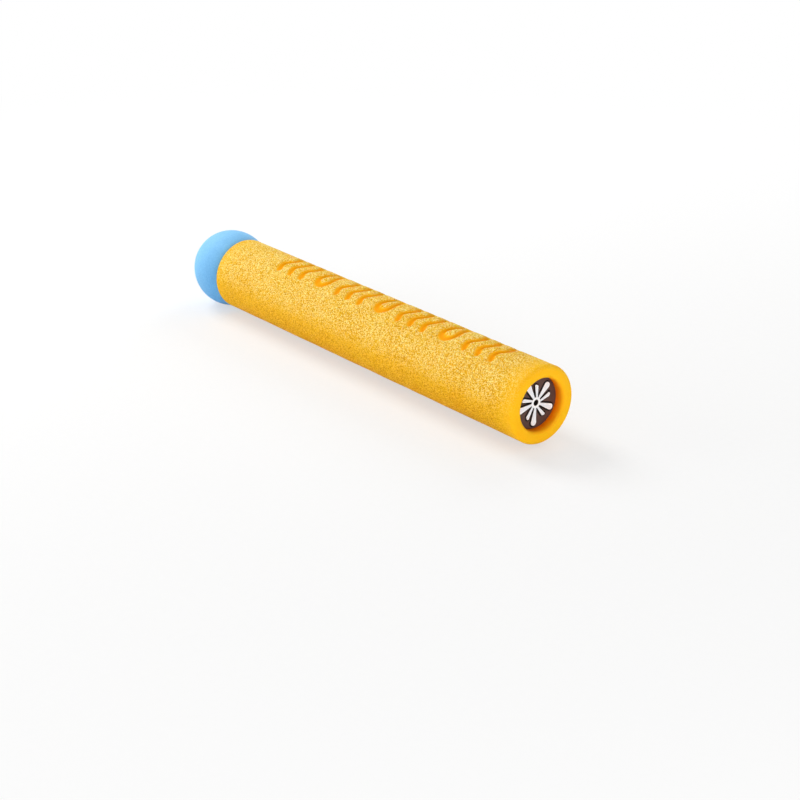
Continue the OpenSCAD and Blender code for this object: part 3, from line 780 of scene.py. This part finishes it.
print("kinds of petal:", len(petal_rings))

# %% The hub with its water hole, and the union
HUB_POINTS, HUB_ROUND_POINTS, SHARP_PLASTIC_DEG = 64, 4, 40
hub_wall = add(flower, MATH, {0: given["Hub radius"], 1: given["Hole radius"]}, operation="SUBTRACT")
hub_middle = add(flower, MATH, {0: given["Hub radius"], 1: given["Hole radius"]}, operation="ADD")
hub_middle = add(flower, MATH, {0: hub_middle, 1: 0.5}, operation="MULTIPLY")
hub_section = {"Width": hub_wall, "Height": given["Hub length"]}
section = add(flower, "GeometryNodeCurvePrimitiveQuadrilateral", hub_section)
rounding = {"Curve": section, "Radius": given["Rim round"], "Count": HUB_ROUND_POINTS}
section = add(flower, "GeometryNodeFilletCurve", rounding, mode="POLY")
ring = add(flower, "GeometryNodeCurvePrimitiveCircle", {"Resolution": HUB_POINTS, "Radius": hub_middle})
hub = add(flower, "GeometryNodeCurveToMesh", {"Curve": ring, "Profile Curve": section})
hub_z = add(flower, MATH, {0: given["Hub length"], 1: -0.5, 2: given["Height"]}, operation="MULTIPLY_ADD")
lowered = add(flower, COMBINE, {"Z": hub_z})
hub = add(flower, "GeometryNodeTransform", {"Geometry": hub, "Translation": lowered})
# The hub takes the painted highlight's bright colour all over
hub = add(flower, STORE, {"Geometry": hub, "Name": "painted_highlight", "Value": 1.0})
union = add(flower, "GeometryNodeMeshBoolean", {0: hub}, operation="UNION", solver="EXACT")
for petal_ring in petal_rings:
    wire(flower, union, {0: petal_ring})
base_x = add(flower, MATH, {0: given["Front"], 1: given["Height"]}, operation="SUBTRACT")
where = add(flower, COMBINE, {"X": base_x, "Z": given["Axis height"]})
whole = add(flower, "GeometryNodeTransform", {
    "Geometry": union, "Translation": where, "Rotation": (0, math.pi / 2, 0)})
whole = add(flower, "GeometryNodeRealizeInstances", {"Geometry": whole})
whole = add(flower, "GeometryNodeSetMaterial", {"Geometry": whole, "Material": white_moulded})
add(flower, "NodeGroupOutput", {"Geometry": whole})
petals = grown("nozzle_petals", bpy.data.meshes.new("nozzle_petals"), flower, flower_sizes)
petals.data.polygons.foreach_set("use_smooth", [True] * len(petals.data.polygons))
petals.data.set_sharp_from_angle(angle=math.radians(SHARP_PLASTIC_DEG))
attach(petals, "squirter_body")
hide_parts("petal_nozzle")

# %% [markdown]
# The rest are CAD nodes with the right shape, so each only gets its finish.
# The cap is moulded ABS in a warm dark grey. A sparked mould gives it a fine even grain that breaks up
# reflections. Behind its face a painted shade takes the colour to almost black, so the pocket round the
# petals looks deep.

# %% Dark moulded plastic
SPARK, SPARK_DEPTH, SCUFF = 0.35 * MM, 0.05 * MM, 5 * MM
# How far behind the cap's face the painted shade starts, and where it is full
PAINTED_POCKET_START, PAINTED_POCKET_FULL = 0.2 * MM, 0.7 * MM
dark_moulded, tree, shader, place = new_material("dark_abs_moulded_sparked")
spark = add(tree, NOISE, {"Vector": place, "Scale": 1 / SPARK, "Detail": 2.0})
scuff = add(tree, NOISE, {"Vector": place, "Scale": 1 / SCUFF, "Detail": 4.0})
colour = add(tree, MIX, {"Factor": scuff, "A": srgb("47332F"), "B": srgb("61463F")}, data_type="RGBA")
ahead = add(tree, SEPARATE, {0: place}).outputs["X"]
painted_pocket_shade = add(tree, RANGE, {
    "Value": ahead, "From Min": cap_face_x - PAINTED_POCKET_START, "From Max": cap_face_x - PAINTED_POCKET_FULL})
colour = add(tree, MIX, {"Factor": painted_pocket_shade, "A": colour, "B": srgb("0C0808")}, data_type="RGBA")
gloss = add(tree, RANGE, {
    "Value": scuff, "From Min": NOISE_LOW, "From Max": NOISE_HIGH, "To Min": 0.42, "To Max": 0.6})
bump = add(tree, "ShaderNodeBump", {"Strength": 0.4, "Distance": SPARK_DEPTH, "Height": spark})
wire(tree, shader, {"Base Color": colour, "Roughness": gloss, "Normal": bump})
wire(tree, shader, {"IOR": 1.54, "Specular IOR Level": 0.2})
print("spark grain in mm:", round(SPARK / MM, 2))

# %% [markdown]
# The plunger's tube is extruded PVC. The die leaves fine lines along it, and sliding in the guide leaves
# faint bands of rubbed, duller plastic round it. Both are noise that is stretched along or around the axis.

# %% White extruded plastic
DIE_LINE, DIE_DEPTH, RUBBED_BAND = 0.6 * MM, 0.03 * MM, 14 * MM
ALONG, AROUND = (0.01, 1.0, 1.0), (1.0, 0.02, 0.02)
white_extruded, tree, shader, place = new_material("white_pvc_extruded")
drawn = add(tree, "ShaderNodeMapping", {"Vector": place, "Scale": ALONG})
die_lines = add(tree, NOISE, {"Vector": drawn, "Scale": 1 / DIE_LINE, "Detail": 2.0})
banded = add(tree, "ShaderNodeMapping", {"Vector": place, "Scale": AROUND})
rubbed = add(tree, NOISE, {"Vector": banded, "Scale": 1 / RUBBED_BAND, "Detail": 2.0})
colour = add(tree, MIX, {"Factor": die_lines, "A": srgb("D6DADD"), "B": srgb("E4E6E8")}, data_type="RGBA")
gloss = add(tree, RANGE, {"Value": rubbed, "From Min": 0.35, "From Max": 0.7, "To Min": 0.32, "To Max": 0.42})
bump = add(tree, "ShaderNodeBump", {"Strength": 0.3, "Distance": DIE_DEPTH, "Height": die_lines})
wire(tree, shader, {"Base Color": colour, "Roughness": gloss, "Normal": bump, "IOR": 1.53})
print("die lines in mm:", round(DIE_LINE / MM, 2))

# %% [markdown]
# The barrel, the rod guide and the ball's core are natural polypropylene, without pigment: milky and slightly
# cloudy, with flow marks of a few millimetres from the mould. A little light goes into it, which softens
# its shading.

# %% Natural plastic
FLOW_MARK, FLOW_DEPTH, MILK_REACH = 6 * MM, 0.05 * MM, 1.5 * MM
natural_moulded, tree, shader, place = new_material("natural_polypropylene_milky")
flow = add(tree, NOISE, {"Vector": place, "Scale": 1 / FLOW_MARK, "Detail": 3.0, "Distortion": 0.6})
colour = add(tree, MIX, {"Factor": flow, "A": srgb("DAD9D2"), "B": srgb("EEEDE8")}, data_type="RGBA")
gloss = add(tree, RANGE, {"Value": flow, "To Min": 0.3, "To Max": 0.5})
bump = add(tree, "ShaderNodeBump", {"Strength": 0.2, "Distance": FLOW_DEPTH, "Height": flow})
wire(tree, shader, {"Base Color": colour, "Roughness": gloss, "Normal": bump, "IOR": 1.49})
wire(tree, shader, {
    "Subsurface Weight": 0.15, "Subsurface Scale": MILK_REACH, "Subsurface Radius": (1.0, 0.95, 0.85)})
print("flow marks in mm:", round(FLOW_MARK / MM))

# %% [markdown]
# The gasket and the piston's rings are black nitrile rubber. It is matt, with a faint grey bloom in patches.

# %% Black rubber
BLOOM, BLOOM_DEPTH = 3 * MM, 0.03 * MM
black_rubber, tree, shader, place = new_material("black_nitrile_rubber_moulded")
bloom = add(tree, NOISE, {"Vector": place, "Scale": 1 / BLOOM, "Detail": 4.0})
colour = add(tree, MIX, {"Factor": bloom, "A": srgb("18181A"), "B": srgb("2E2E30")}, data_type="RGBA")
gloss = add(tree, RANGE, {"Value": bloom, "To Min": 0.5, "To Max": 0.75})
bump = add(tree, "ShaderNodeBump", {"Strength": 0.3, "Distance": BLOOM_DEPTH, "Height": bloom})
wire(tree, shader, {"Base Color": colour, "Roughness": gloss, "Normal": bump, "IOR": 1.52})
print("bloom patches in mm:", round(BLOOM / MM))

# %% [markdown]
# A CAD node keeps its mesh and its place. Only the material in its slots changes, and pieces of the same
# stuff share one.

# %% Finishes of the CAD nodes
finishes = {
    "barrel_tube": natural_moulded,
    "rod_guide": natural_moulded,
    "handle_core": natural_moulded,
    "nozzle_cap": dark_moulded,
    "piston_head": dark_moulded,
    "plunger_tube": white_extruded,
    "cap_gasket": black_rubber,
    "front_piston_ring": black_rubber,
    "rear_piston_ring": black_rubber,
}
for node, finish in finishes.items():
    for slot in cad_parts[node].material_slots:
        slot.material = finish
    print(node, "is", finish.name)
